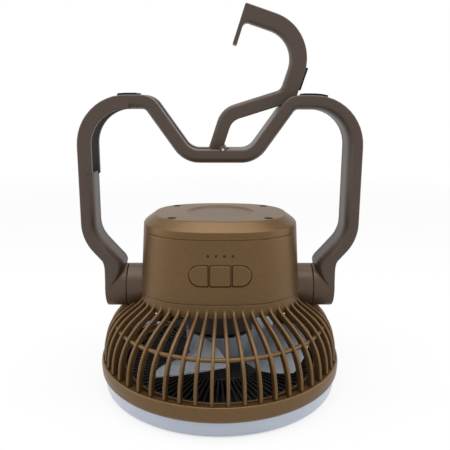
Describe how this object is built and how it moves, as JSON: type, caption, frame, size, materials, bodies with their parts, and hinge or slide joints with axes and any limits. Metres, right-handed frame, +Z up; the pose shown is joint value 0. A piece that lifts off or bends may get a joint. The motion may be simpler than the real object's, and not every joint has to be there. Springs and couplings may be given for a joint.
{
  "type": "camping fan",
  "caption": "Portable battery fan with a ribbed cage, a light ring, three push buttons, a folding bail stand and a folding hanging hook.",
  "frame": {"origin": "on the fan's axis, at the bottom of the light ring, which the fan rests on", "axes": "+Z up along the fan's axis, from the light ring to the hook; +X to the right along the stand's hinge axis, seen from the buttons; +Y to the rear, away from the buttons"},
  "size_m": [0.188, 0.1702, 0.2591],
  "materials": {
    "diffuser": "milky white, satin",
    "brown_plastic": "warm bronze brown, satin",
    "grey_plastic": "dark warm grey, satin",
    "dark_plastic": "black, matt",
    "blade_plastic": "pale grey, glossy",
    "rubber": "black, matt",
    "steel": "plated",
    "nylon": "natural",
    "white_board": "white lacquer",
    "green_board": "green lacquer",
    "led": "clear over yellow",
    "lens": "smoked",
    "cell_wrap": "shrink wrap",
    "black_metal": "black, satin",
    "magnet": "sintered",
    "copper": "enamelled copper"
  },
  "bodies": {
    "head": {"light_diffuser": "diffuser", "led_board": "white_board", "led_chips": "led", "rim_ring": "brown_plastic", "front_grille": "dark_plastic", "rear_cage": "brown_plastic", "housing_shell": "brown_plastic", "top_cover": "brown_plastic", "cover_screws": "steel", "cover_plugs": "rubber", "indicator_lenses": "lens", "indicator_leds": "led", "control_board": "green_board", "board_screws": "steel", "tact_switches": "dark_plastic", "battery_cells": "cell_wrap", "battery_holder": "dark_plastic", "power_board": "green_board", "usb_c_port": "steel", "motor_can": "black_metal", "motor_end_cap": "dark_plastic", "motor_magnets": "magnet", "motor_bearings": "steel", "motor_screws": "steel", "hinge_hub_left": "grey_plastic", "hinge_hub_right": "grey_plastic", "hinge_bolts": "steel", "hinge_nuts": "steel", "friction_washers": "nylon", "spring_washers": "steel"},
    "fan": {"fan_blades": "blade_plastic", "blade_cap": "blade_plastic", "motor_shaft": "steel", "motor_rotor": "copper"},
    "button_left": {"button_left": "brown_plastic"},
    "button_center": {"button_center": "brown_plastic"},
    "button_right": {"button_right": "brown_plastic"},
    "stand": {"stand_front_shell": "grey_plastic", "stand_rear_shell": "grey_plastic", "stand_screws": "steel", "stand_pad_left": "rubber", "stand_pad_right": "rubber", "hinge_cap_left": "grey_plastic", "hinge_cap_right": "grey_plastic", "hook_pin": "steel"},
    "hook": {"hook": "grey_plastic", "hook_pad": "rubber"}
  },
  "joints": [
    {"name": "fan_spin", "type": "hinge", "parent": "head", "child": "fan", "pos_m": [0, 0, 0.045], "axis": [0, 0, 1], "continuous": true},
    {"name": "button_left_press", "type": "slide", "parent": "head", "child": "button_left", "axis": [0, 1, 0], "range_m": [0, 0.0005], "stiffness_N_per_m": 400, "springref_m": -0.001},
    {"name": "button_center_press", "type": "slide", "parent": "head", "child": "button_center", "axis": [0, 1, 0], "range_m": [0, 0.0005], "stiffness_N_per_m": 400, "springref_m": -0.001},
    {"name": "button_right_press", "type": "slide", "parent": "head", "child": "button_right", "axis": [0, 1, 0], "range_m": [0, 0.0005], "stiffness_N_per_m": 400, "springref_m": -0.001},
    {"name": "stand_pivot", "type": "hinge", "parent": "head", "child": "stand", "pos_m": [0, 0, 0.07], "axis": [1, 0, 0], "range_deg": [-92, 92]},
    {"name": "hook_pivot", "type": "hinge", "parent": "stand", "child": "hook", "pos_m": [0.0017, 0, 0.1666], "axis": [0, -1, 0], "range_deg": [0, 108]}
  ]
}
